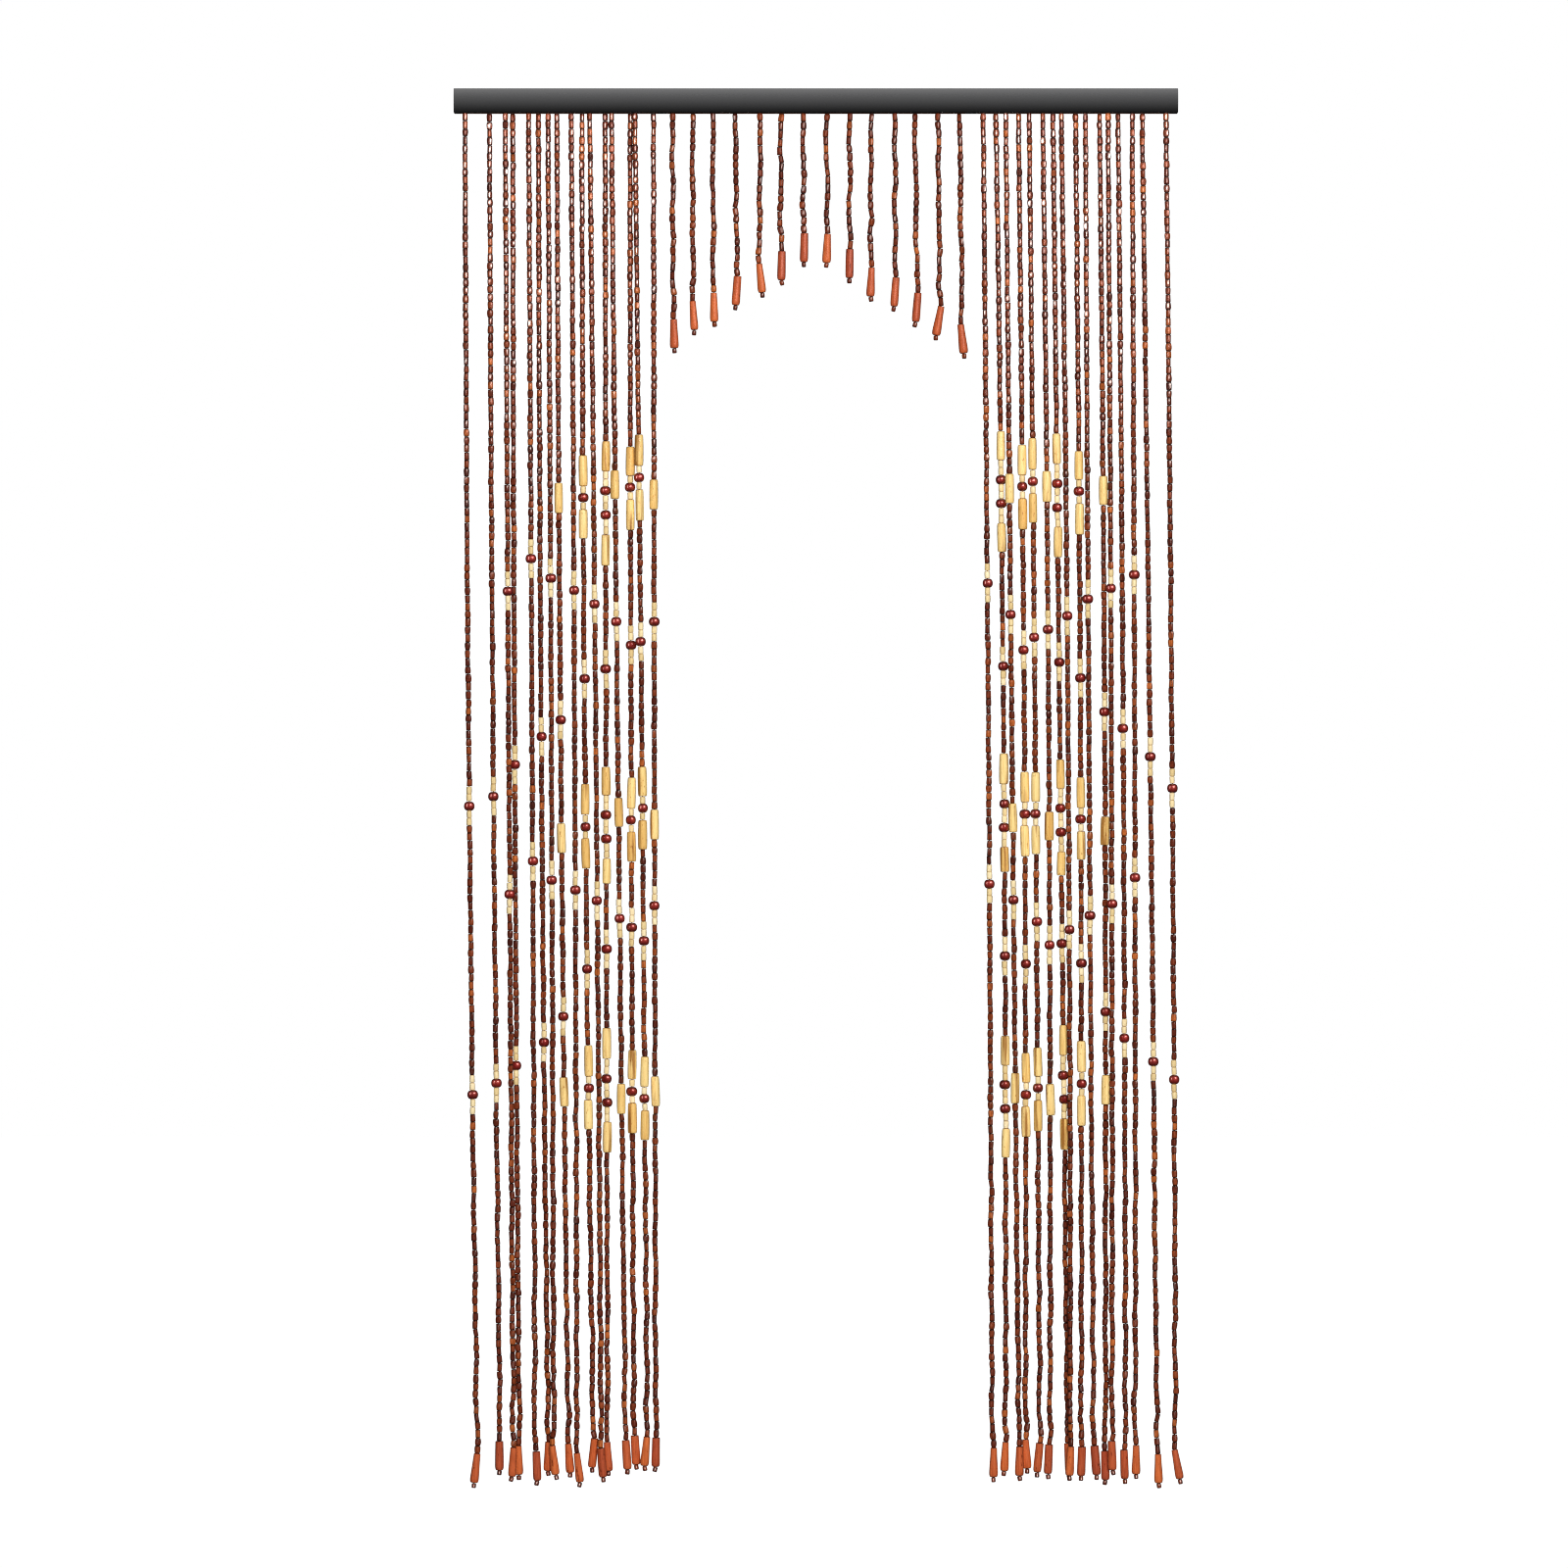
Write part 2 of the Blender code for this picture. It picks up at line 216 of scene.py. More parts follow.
SHAPES = {
    "barrel": Shape(
        radius=BARREL_RADIUS,
        sides=10,
        uneven=0.12,
        profile=(
            (0.2, 1), (0.75, 1), (0.88, 0.83), (0.975, 0.4), (1, 0),
            (0.975, -0.4), (0.88, -0.83), (0.75, -1), (0.2, -1),
        ),
    ),
    "slim": Shape(
        radius=SLIM_RADIUS,
        sides=10,
        uneven=0.11,
        profile=((0.24, 1), (0.88, 1), (1, 0.86), (1, -0.86), (0.88, -1), (0.24, -1)),
    ),
    "pale": Shape(
        radius=PALE_RADIUS,
        sides=12,
        uneven=0.06,
        profile=((0.24, 1), (0.82, 1), (0.98, 0.8), (1, 0), (0.97, -0.8), (0.84, -1), (0.24, -1)),
    ),
    "round": Shape(
        radius=ROUND_RADIUS,
        sides=20,
        uneven=0.01,
        profile=(
            (0.13, 0.93), (0.28, 1), (0.52, 0.95), (0.74, 0.8), (0.90, 0.56), (0.98, 0.28), (1, 0),
            (0.98, -0.28), (0.90, -0.56), (0.74, -0.8), (0.52, -0.95), (0.28, -1), (0.13, -0.93),
        ),
    ),
    "tube": Shape(
        radius=TUBE_RADIUS,
        sides=16,
        uneven=0.025,
        profile=(
            (0.15, 1), (0.70, 1), (0.82, 0.98), (0.90, 0.93), (0.95, 0.82), (0.985, 0.4), (1, 0),
            (1, -0.5), (0.98, -0.8), (0.94, -0.92), (0.86, -0.98), (0.74, -1), (0.15, -1),
        ),
    ),
    "end_tube": Shape(
        radius=END_TUBE_RADIUS,
        sides=16,
        uneven=0.03,
        profile=(
            (0.16, 1), (0.66, 1), (0.73, 0.98), (0.75, 0.9), (0.82, 0.4), (0.91, -0.1),
            (0.98, -0.5), (1, -0.72), (0.97, -0.85), (0.88, -0.94), (0.7, -0.99), (0.5, -1), (0.16, -1),
        ),
    ),
    "straight_end_tube": Shape(
        radius=STRAIGHT_END_TUBE_RADIUS,
        sides=16,
        uneven=0.03,
        profile=(
            (0.16, 1), (0.84, 1), (0.91, 0.98), (0.93, 0.9), (0.96, 0.4), (0.98, -0.1),
            (1, -0.5), (1, -0.74), (0.96, -0.86), (0.86, -0.94), (0.7, -0.99), (0.5, -1), (0.16, -1),
        ),
    ),
    "end_bead": Shape(
        radius=END_BEAD_RADIUS,
        sides=12,
        uneven=0.06,
        profile=((0.2, 1), (0.8, 1), (1, 0.6), (1, -0.6), (0.8, -1), (0.2, -1)),
    ),
}


def strand_x(strand, drop):
    """The strand's place across: a smooth curve through the charted places, then the end tube's lean."""
    if len(strand.across) == 3:
        drops = (TOP_DROP, MIDDLE_DROP, FOOT_DROP)
    else:
        drops = (TOP_DROP, strand.tube * MM)
    curve = np.polyfit(drops, np.array(strand.across) * MM, len(drops) - 1)
    past_tube_top = max(0, drop - strand.tube * MM)
    return np.polyval(curve, drop) + strand.lean * MM * past_tube_top / END_TUBE_LENGTH


def pale_round(middle, above, below):
    """A round bead with pale beads above and below it, each run given by where it ends."""
    half = ROUND_HEIGHT / 2
    items = [("round", middle - half, middle + half)]
    if above is not None:
        items.insert(0, ("pale", above, middle - half))
    if below is not None:
        items.append(("pale", middle + half, below))
    return items


def motif_items(motif, middle, upper_length, lower_length):
    """lone: one tube. pair: a round bead between two tubes. long: two round beads between two tubes."""
    if motif == "lone":
        half = upper_length / 2
        return [("tube", middle - half, middle + half)]
    start = PAIR_TUBE_START if motif == "pair" else LONG_TUBE_START
    above, below = middle - start, middle + start
    if motif == "pair":
        beads = pale_round(middle, above, below)
    else:
        beads = pale_round(middle - LONG_ROUND_OFFSET, above, middle)
        beads += pale_round(middle + LONG_ROUND_OFFSET, middle, below)
    return [("tube", above - upper_length, above)] + beads + [("tube", below, below + lower_length)]


def strand_items(strand, rng):
    """All that is strung on a strand, from the rail down, as (kind, top, foot). Runs are still whole."""
    items = []
    for drop in strand.rounds:
        items += pale_round(drop * MM, drop * MM - LONE_REACH, drop * MM + LONE_REACH)
    for band, drop in enumerate(strand.bands, start=1):
        shorter = strand.motif == "long" and band == 2
        lengths = (TUBE_LENGTH, SHORT_TUBE_LENGTH if shorter else TUBE_LENGTH)
        upper, lower = lengths * (1 + rng.uniform(-1, 1, 2) * TUBE_LENGTH_SPREAD)
        items += motif_items(strand.motif, drop * MM, upper, lower)
    tube_top = strand.tube * MM
    tube_foot = tube_top + END_TUBE_LENGTH
    items.append(("end_tube", tube_top, tube_foot))
    items.append(("end_bead", tube_foot, tube_foot + END_BEAD_LENGTH))
    strung = []
    last_foot = ROOT_DROP
    for item in sorted(items, key=lambda item: item[1]):
        if item[1] - last_foot > BEAD_PITCH / 2:
            strung.append(("brown", last_foot, item[1]))
        strung.append(item)
        last_foot = item[2]
    return strung


def split_run(kind, top, foot, rng):
    """A run of small beads cut into single ones of slightly uneven lengths."""
    if kind not in ("brown", "pale"):
        return [(kind, top, foot)]
    count = max(1, round((foot - top) / BEAD_PITCH))
    lengths = 1 + rng.uniform(-1, 1, count) * SMALL_LENGTH_SPREAD
    ends = top + (foot - top) * np.concatenate([[0], np.cumsum(lengths)]) / lengths.sum()
    return [(kind, ends[i], ends[i + 1]) for i in range(count)]


def looseness(strand, drop):
    """How freely the strand kinks there: less the more hangs below it to pull it straight."""
    hanging = max(0.0, strand.tube * MM - drop)
    return LOOSE_KINK / (1 + hanging / LOOSE_LENGTH)


def joint_place(strand, drop, rng, waves):
    """The point where two beads meet: on the strand's curve, with small kinks."""
    free = looseness(strand, drop)
    across, deep = [KINK_WAVE * math.sin(drop / length + phase) for length, phase in waves]
    x = strand_x(strand, drop) + free * (across + KINK_STEP_ACROSS * rng.standard_normal())
    y = strand.row + KINK_DEEP * free * (deep + KINK_STEP_DEEP * rng.standard_normal())
    return np.array([x, y, RAIL_TOP + CHART_ABOVE - drop])


Bead = collections.namedtuple("Bead", "kind top foot tone gloss")


def string_strand(strand, rng):
    """The strand's beads in order, each between the two points where it meets its neighbours."""
    waves = [(rng.uniform(*KINK_WAVE_LENGTHS), rng.uniform(0, 2 * math.pi)) for _ in range(2)]
    pieces = []
    for kind, top, foot in strand_items(strand, rng):
        pieces += split_run(kind, top, foot, rng)
    places = [joint_place(strand, pieces[0][1], rng, waves)]
    beads = []
    for kind, _, foot in pieces:
        places.append(joint_place(strand, foot, rng, waves))
        if kind == "brown":
            kind = "barrel" if rng.random() < BARREL_SHARE else "slim"
        elif kind == "end_tube" and rng.random() < STRAIGHT_SHARE:
            kind = "straight_end_tube"
        tone = rng.uniform(*TONE_RANGES.get(kind, FULL_RANGE))
        gloss = rng.uniform(*GLOSS_RANGES.get(kind, FULL_RANGE))
        beads.append(Bead(kind, places[-2], places[-1], tone, gloss))
    return beads


def lathe(shape):
    """A turned shape with radius 1 and half its length 1: its points, faces and a flat map of its side."""
    sides, profile = shape.sides, np.array(shape.profile, float)
    rows = len(profile)
    turn = 2 * math.pi * np.arange(sides) / sides
    points = np.array(
        [(radius * math.cos(a), radius * math.sin(a), place) for radius, place in profile for a in turn]
    )
    steps = np.hypot(np.diff(profile[:, 0]), np.diff(profile[:, 1]) * 2)
    along = np.concatenate([[0], np.cumsum(steps)]) / steps.sum()
    faces, flat = [], []
    for row in range(rows - 1):
        for side in range(sides):
            after = (side + 1) % sides
            low, high = row * sides, (row + 1) * sides
            faces.append((low + side, high + side, high + after, low + after))
            left, right = side / sides, (side + 1) / sides
            flat.append(
                ((left, along[row]), (left, along[row + 1]), (right, along[row + 1]), (right, along[row]))
            )
    return points, np.array(faces), np.array(flat)


LATHED = {kind: lathe(shape) for kind, shape in SHAPES.items()}


def bead_points(bead, rng):
    """The turned shape's points, set between the bead's two ends and turned at random about its length."""
    shape = SHAPES[bead.kind]
    points = LATHED[bead.kind][0]
    around = np.arctan2(points[:, 1:2], points[:, :1])
    flats, corners, swell = rng.uniform(0, 2 * math.pi, 3)
    section = 1 + shape.uneven * (
        OVAL_SHARE * np.cos(2 * around + flats)
        + CORNERS_SHARE * np.cos(3 * around + corners)
        + SWELL_SHARE * np.sin(SWELL_TURN * points[:, 2:] + swell)
    )
    axis = bead.top - bead.foot
    length = np.linalg.norm(axis)
    axis = axis / length
    spin = rng.uniform(0, 2 * math.pi)
    side = np.cross(axis, (math.sin(spin), math.cos(spin), 0))
    side /= np.linalg.norm(side)
    other = np.cross(axis, side)
    radius = shape.radius * (1 + rng.uniform(-1, 1) * RADIUS_SPREAD) * section
    half = (length - BEAD_GAP) / 2
    middle = (bead.top + bead.foot) / 2 + rng.uniform(-1, 1, 3) * shape.radius * OFF_THREAD
    return (
        middle
        + points[:, :1] * radius * side
        + points[:, 1:2] * radius * other
        + points[:, 2:] * half * axis
    )


def mesh_object(name, points, faces, smooth_angle=None):
    """A mesh in the scene, flat where no angle is given and else smooth but for its sharp edges."""
    mesh = bpy.data.meshes.new(name)
    mesh.from_pydata(points, [], faces)
    if smooth_angle is not None:
        mesh.shade_smooth()
        mesh.set_sharp_from_angle(angle=smooth_angle)
    obj = bpy.data.objects.new(name, mesh)
    bpy.context.scene.collection.objects.link(obj)
    return obj


def add_numbers(mesh, name, values):
    """One number for each point of the mesh, which its material can read."""
    made = mesh.attributes.new(name, "FLOAT", "POINT")
    made.data.foreach_set("value", np.asarray(values, np.float32))


def bead_object(name, beads, rng):
    """Many beads as one mesh. Each has its own tone and gloss and its own cell of the flat map."""
    points, faces, flat = [], [], []
    tone, gloss, along = [], [], []
    cells = math.ceil(math.sqrt(len(beads)))
    count = 0
    for number, bead in enumerate(beads):
        shape_points, shape_faces, shape_flat = LATHED[bead.kind]
        points.append(bead_points(bead, rng))
        faces.append(shape_faces + count)
        cell = np.array([number % cells, number // cells])
        flat.append((cell + CELL_MARGIN + shape_flat * (1 - 2 * CELL_MARGIN)) / cells)
        tone.append(np.full(len(shape_points), bead.tone))
        gloss.append(np.full(len(shape_points), bead.gloss))
        along.append(shape_points[:, 2])
        count += len(shape_points)
    obj = mesh_object(name, np.concatenate(points).tolist(), np.concatenate(faces).tolist(), SHARP_BEAD)
    mesh = obj.data
    layer = mesh.uv_layers.new(name="OFBake")
    layer.uv.foreach_set("vector", np.concatenate(flat).astype(np.float32).ravel())
    add_numbers(mesh, "tone", np.concatenate(tone))
    add_numbers(mesh, "gloss", np.concatenate(gloss))
    add_numbers(mesh, "along", np.concatenate(along))
    return obj


def thread_object(name, strands_beads):
    """A curtain's threads: thin tubes from joint to joint, from the strip into the end beads."""
    sides = THREAD_SIDES
    turn = 2 * math.pi * np.arange(sides) / sides
    ring = THREAD_RADIUS * np.stack([np.cos(turn), np.sin(turn), np.zeros(sides)], 1)
    points, faces = [], []
    count = 0
    for beads in strands_beads:
        root = beads[0].top.copy()
        root[2] = RAIL_UNDERSIDE + STRIP_HEIGHT / 2
        last = (beads[-1].top + beads[-1].foot) / 2
        places = [root] + [bead.top for bead in beads] + [last]
        for place in places:
            points.append(place + ring)
        for step in range(len(places) - 1):
            low = count + step * sides
            for side in range(sides):
                after = (side + 1) % sides
                faces.append((low + side, low + sides + side, low + sides + after, low + after))
        count += len(places) * sides
    return mesh_object(name, np.concatenate(points).tolist(), faces, SHARP_THREAD)


WHITE = (1, 1, 1)  # leaves a colour as it is where it multiplies it

# The Mix node's colour sockets, whose names its other sockets have too
MIX_FIRST = 6
MIX_SECOND = 7
MIX_RESULT = 2


class Material:
    """A Principled material with short calls for the nodes that this scene uses."""

    def __init__(self, name, **fixed):
        self.made = bpy.data.materials.new(name)
        self.made.use_nodes = True
        self.nodes = self.made.node_tree.nodes
        self.links = self.made.node_tree.links
        self.shader = self.nodes["Principled BSDF"]
        for socket, value in fixed.items():
            self.shader.inputs[socket.replace("_", " ")].default_value = value

    def link(self, source, target):
        self.links.new(source, target)

    def number(self, name):
        """The number that add_numbers gave to the mesh under this name."""
        node = self.nodes.new("ShaderNodeAttribute")
        node.attribute_name = name
        return node.outputs["Fac"]

    def noise(self, scale, detail, stretch=(1, 1, 1)):
        place = self.nodes.new("ShaderNodeTexCoord")
        mapping = self.nodes.new("ShaderNodeMapping")
        mapping.inputs["Scale"].default_value = stretch
        node = self.nodes.new("ShaderNodeTexNoise")
        node.inputs["Scale"].default_value = scale
        node.inputs["Detail"].default_value = detail
        self.link(place.outputs["Object"], mapping.inputs["Vector"])
        self.link(mapping.outputs["Vector"], node.inputs["Vector"])
        return node.outputs["Fac"]

    def ramp(self, value, stops):
        """The colour at the value, from stops given as (value, colour)."""
        node = self.nodes.new("ShaderNodeValToRGB")
        elements = node.color_ramp.elements
        while len(elements) < len(stops):
            elements.new(0.5)
        for element, (place, colour) in zip(elements, stops, strict=True):
            element.position = place
            element.color = (*colour, 1)
        self.link(value, node.inputs["Fac"])
        return node.outputs["Color"]

    def spread(self, value, low, high, to_low, to_high):
        """The value, carried from the range low to high over to the range to_low to to_high."""
        node = self.nodes.new("ShaderNodeMapRange")
        for socket, number in (
            ("From Min", low),
            ("From Max", high),
            ("To Min", to_low),
            ("To Max", to_high),
        ):
            node.inputs[socket].default_value = number
        self.link(value, node.inputs["Value"])
        return node.outputs["Result"]

    def absolute(self, value):
        node = self.nodes.new("ShaderNodeMath")
        node.operation = "ABSOLUTE"
        self.link(value, node.inputs["Value"])
        return node.outputs["Value"]

    def multiply(self, share, first, second):
        """The first colour times the second, as far as the share says. Each is a value or a socket."""
        node = self.nodes.new("ShaderNodeMix")
        node.data_type = "RGBA"
        node.blend_type = "MULTIPLY"
        targets = (node.inputs["Factor"], node.inputs[MIX_FIRST], node.inputs[MIX_SECOND])
        for socket, value in zip(targets, (share, first, second), strict=True):
            if isinstance(value, (int, float)):
                socket.default_value = value
            elif isinstance(value, tuple):
                socket.default_value = (*value, 1)
            else:
                self.link(value, socket)
        return node.outputs[MIX_RESULT]

    def bump(self, height, distance):
        node = self.nodes.new("ShaderNodeBump")
        node.inputs["Distance"].default_value = distance
        node.inputs["Strength"].default_value = 1.0
        self.link(height, node.inputs["Height"])
        self.link(node.outputs["Normal"], self.shader.inputs["Normal"])

    def colour(self, value):
        self.link(value, self.shader.inputs["Base Color"])

    def roughness(self, value):
        self.link(value, self.shader.inputs["Roughness"])


GRAIN = (1, 1, 0.12)  # wood grain runs down the beads


def painted_end_shade(m, colour, start, dark):
    """The colour, darkened where a bead turns in to its hole: painted shade, standing in for the shade
    that falls into the joints between neighbouring beads.
    """
    share = m.spread(m.absolute(m.number("along")), start, 1.0, 0.0, 1.0)
    return m.multiply(share, colour, dark)


def brown_wood():
    m = Material("brown_wood", Specular_IOR_Level=0.18, Coat_IOR=2.0, Coat_Roughness=0.30)
    tone = m.ramp(
        m.number("tone"),
        (
            (0.0, (0.100, 0.016, 0.007)),
            (0.30, (0.155, 0.027, 0.010)),
            (0.86, (0.25, 0.050, 0.014)),
            (0.92, (0.36, 0.084, 0.020)),
            (1.0, (0.50, 0.130, 0.028)),
        ),
    )
    grain = m.noise(scale=900, detail=4, stretch=GRAIN)
    streaks = m.multiply(0.9, tone, m.ramp(grain, ((0.38, (0.45, 0.4, 0.38)), (0.6, WHITE))))
    gloss = m.number("gloss")
    deeper = m.multiply(m.spread(gloss, 0.5, 1.0, 0, 1), streaks, (0.62, 0.54, 0.54))
    # painted shade at the bead's ends, nearly black, for the shaded grooves between neighbouring beads
    m.colour(painted_end_shade(m, deeper, 0.60, (0.02, 0.015, 0.015)))
    m.roughness(m.spread(gloss, 0, 0.7, 0.6, 0.4))
    m.link(m.spread(gloss, 0.4, 1.0, 0.15, 1.0), m.shader.inputs["Coat Weight"])
    m.bump(grain, distance=0.00012)
    return m.made


def pale_wood():
    m = Material("pale_wood", Coat_Weight=0.1, Coat_Roughness=0.3)
    tone = m.ramp(
        m.number("tone"),
        ((0.0, (0.63, 0.47, 0.22)), (0.5, (0.75, 0.60, 0.32)), (1.0, (0.83, 0.70, 0.44))),
    )
    grain = m.noise(scale=700, detail=4, stretch=GRAIN)
    streaks = m.multiply(0.35, tone, m.ramp(grain, ((0.35, (0.7, 0.58, 0.4)), (0.6, WHITE))))
    # painted shade at the bead's ends, where it meets its neighbours
    m.colour(painted_end_shade(m, streaks, 0.8, (0.6, 0.45, 0.28)))
    m.roughness(m.spread(m.number("gloss"), 0, 1, 0.4, 0.6))
    m.bump(grain, distance=0.0001)
    return m.made


def tan_wood():
    m = Material("tan_wood", Coat_Weight=0.15, Coat_Roughness=0.3)
    tone = m.ramp(
        m.number("tone"),
        ((0.0, (0.68, 0.41, 0.12)), (0.4, (0.79, 0.55, 0.20)), (1.0, (0.85, 0.65, 0.28))),
    )
    grain = m.noise(scale=600, detail=5, stretch=(1, 1, 0.06))
    streaks = m.multiply(0.5, tone, m.ramp(grain, ((0.35, (0.72, 0.52, 0.28)), (0.6, WHITE))))
    spots = m.noise(scale=420, detail=2, stretch=(1, 1, 0.35))
    flecks = m.ramp(spots, ((0.64, WHITE), (0.72, (0.5, 0.3, 0.12))))
    flecked = m.multiply(0.7, streaks, flecks)
    runs = m.noise(scale=120, detail=2, stretch=(1, 1, 0.07))
    stains = m.ramp(runs, ((0.58, WHITE), (0.68, (0.36, 0.20, 0.08))))
    marked = m.multiply(0.9, flecked, stains)
    # a thin line of painted shade at the tube's ends
    m.colour(painted_end_shade(m, marked, 0.95, (0.4, 0.24, 0.1)))
    m.roughness(m.spread(grain, 0.3, 0.7, 0.55, 0.38))
    m.bump(grain, distance=0.0002)
    return m.made


def maroon_lacquer():
    m = Material(
        "maroon_lacquer",
        IOR=2.0,
        Specular_IOR_Level=0.6,
        Specular_Tint=(1.0, 0.22, 0.2, 1.0),
        Coat_Weight=1.0,
        Coat_Roughness=0.09,
    )
    tone = m.ramp(m.number("tone"), ((0.0, (0.10, 0.006, 0.005)), (1.0, (0.18, 0.010, 0.008))))
    cloud = m.noise(scale=250, detail=3)
    clouded = m.multiply(0.5, tone, m.ramp(cloud, ((0.3, (0.6, 0.5, 0.5)), (0.7, WHITE))))
    # painted shade on the round bead's top and foot, for its dark rim
    m.colour(painted_end_shade(m, clouded, 0.3, (0.16, 0.14, 0.14)))
    m.roughness(m.spread(cloud, 0.3, 0.7, 0.42, 0.52))
    m.bump(cloud, distance=0.0001)
    return m.made


def red_wood():
    m = Material("red_wood", Coat_Weight=0.2, Coat_Roughness=0.3)
    tone = m.ramp(
        m.number("tone"),
        ((0.0, (0.34, 0.060, 0.026)), (0.5, (0.50, 0.104, 0.032)), (1.0, (0.60, 0.145, 0.038))),
    )
    grain = m.noise(scale=650, detail=5, stretch=(1, 1, 0.08))
    streaks = m.multiply(0.6, tone, m.ramp(grain, ((0.35, (0.55, 0.42, 0.35)), (0.6, WHITE))))
    spots = m.noise(scale=330, detail=2, stretch=(1, 1, 0.3))
    flecks = m.ramp(spots, ((0.66, WHITE), (0.72, (0.3, 0.16, 0.1))))
    marked = m.multiply(0.8, streaks, flecks)
    # a thin line of painted shade at the end tube's ends
    m.colour(painted_end_shade(m, marked, 0.93, (0.25, 0.15, 0.12)))
    m.roughness(m.spread(grain, 0.3, 0.7, 0.55, 0.35))
    m.bump(grain, distance=0.0002)
    return m.made


def dark_thread():
    m = Material("dark_thread", Roughness=0.85)
    twist = m.noise(scale=2500, detail=2, stretch=(1, 1, 0.5))
    m.colour(m.ramp(twist, ((0.3, (0.02, 0.008, 0.005)), (0.7, (0.07, 0.028, 0.016)))))
    m.bump(twist, distance=0.0002)
    return m.made


def rail_paint():
    m = Material("rail_paint", Specular_IOR_Level=0.12)
    grain = m.noise(scale=1500, detail=3)
    m.colour(m.ramp(grain, ((0.3, (0.045, 0.045, 0.046)), (0.7, (0.053, 0.053, 0.054)))))
    m.roughness(m.spread(grain, 0.3, 0.7, 0.5, 0.56))
    return m.made


def rail_outline():
    """The rail's section as (y, z) points: flat behind, above and below, and swelling in front."""
    height = RAIL_TOP - RAIL_UNDERSIDE
    radius = (height**2 / 4 + RAIL_BOW**2) / (2 * RAIL_BOW)
    centre_y = RAIL_LOW.y + radius
    half_angle = math.asin(height / 2 / radius)
    angles = np.linspace(-half_angle, half_angle, RAIL_ARC_POINTS)
    front = [(centre_y - radius * math.cos(a), radius * math.sin(a)) for a in angles]
    return [(RAIL_HIGH.y, RAIL_UNDERSIDE)] + front + [(RAIL_HIGH.y, RAIL_TOP)]


def strip_box(strands):
    """The lowest and highest corners of the heading strip that carries these strands."""
    first = strands[0].across[0] * MM - STRIP_END
    last = strands[-1].across[0] * MM + STRIP_END
    half_depth = STRIP_DEPTH / 2
    low = (first, ROWS_CENTRE_Y - half_depth, RAIL_UNDERSIDE)
    high = (last, ROWS_CENTRE_Y + half_depth, RAIL_UNDERSIDE + STRIP_HEIGHT)
    return low, high


def box_object(name, low, high):
    """A box between its lowest and its highest corner."""
    points = [(x, y, z) for x in (low[0], high[0]) for y in (low[1], high[1]) for z in (low[2], high[2])]
    faces = [(0, 1, 3, 2), (4, 6, 7, 5), (0, 4, 5, 1), (2, 3, 7, 6), (0, 2, 6, 4), (1, 5, 7, 3)]
    return mesh_object(name, points, faces)


def cut_pockets(rail):
    """Cuts the strips' pockets, open below, into the rail's mesh."""
    cutters = []
    for name, strands in CURTAINS.items():
        low, high = strip_box(strands)
        cutter = box_object(
            f"{name}_pocket",
            (low[0] - POCKET_GAP, low[1] - POCKET_GAP, low[2] - CUTTER_PAST),
            [place + POCKET_GAP for place in high],
        )
        cut = rail.modifiers.new(name, "BOOLEAN")
        cut.operation = "DIFFERENCE"
        cut.solver = "EXACT"
        cut.object = cutter
        cutters.append(cutter)
    bpy.context.view_layer.update()
    cut_rail = rail.evaluated_get(bpy.context.evaluated_depsgraph_get())
    uncut_mesh = rail.data
    rail.data = bpy.data.meshes.new_from_object(cut_rail)
    rail.modifiers.clear()
    bpy.data.meshes.remove(uncut_mesh)
    for cutter in cutters:
        bpy.data.meshes.remove(cutter.data)


def make_rail(paint):
    """The rail, its section drawn out over its width, with the strips' pockets and rounded edges."""
    outline = rail_outline()
    count = len(outline)
    points = [(x, y, z) for x in (RAIL_LOW.x, RAIL_HIGH.x) for y, z in outline]
    faces = [tuple(range(count)), tuple(reversed(range(count, 2 * count)))]
    for i in range(count):
        after = (i + 1) % count
        faces.append((i, i + count, after + count, after))
    rail = mesh_object("rail_profile", points, faces, SHARP_RAIL)
    cut_pockets(rail)
    rail.data.set_sharp_from_angle(angle=SHARP_RAIL)
    rail.data.materials.append(paint)
    edge = rail.modifiers.new("soft edges", "BEVEL")
    edge.width = RAIL_EDGE
    edge.segments = RAIL_EDGE_SEGMENTS
    edge.limit_method = "ANGLE"
    edge.angle_limit = SHARP_RAIL
    edge.harden_normals = True
    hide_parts("rail")
    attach(rail, "root")
    return rail


def make_strip(name, strands, thread):
    """The heading strip that carries the strands, inside the rail."""
    strip = box_object(f"{name}_strip", *strip_box(strands))
    strip.data.materials.append(thread)
    return strip


# The pieces that a group's beads are joined into, by kind
Batch = collections.namedtuple("Batch", "piece kinds slot")

BATCHES = (
    Batch("beads", ("barrel", "slim"), "bead_brown"),
    Batch("pale_beads", ("pale",), "bead_cream"),
    Batch("tubes", ("tube",), "tube_tan"),
    Batch("round_beads", ("round",), "bead_round"),
    Batch("end_tubes", ("end_tube", "straight_end_tube"), "end_tube"),
    Batch("end_beads", ("end_bead",), "bead_brown"),
)

# The long curtains have so many small brown beads that each row's are a piece of their own.
SPLIT_BY_ROW = ("curtain_left", "curtain_right")
ROW_LABELS = {FRONT: "front_", BACK: "back_", None: ""}


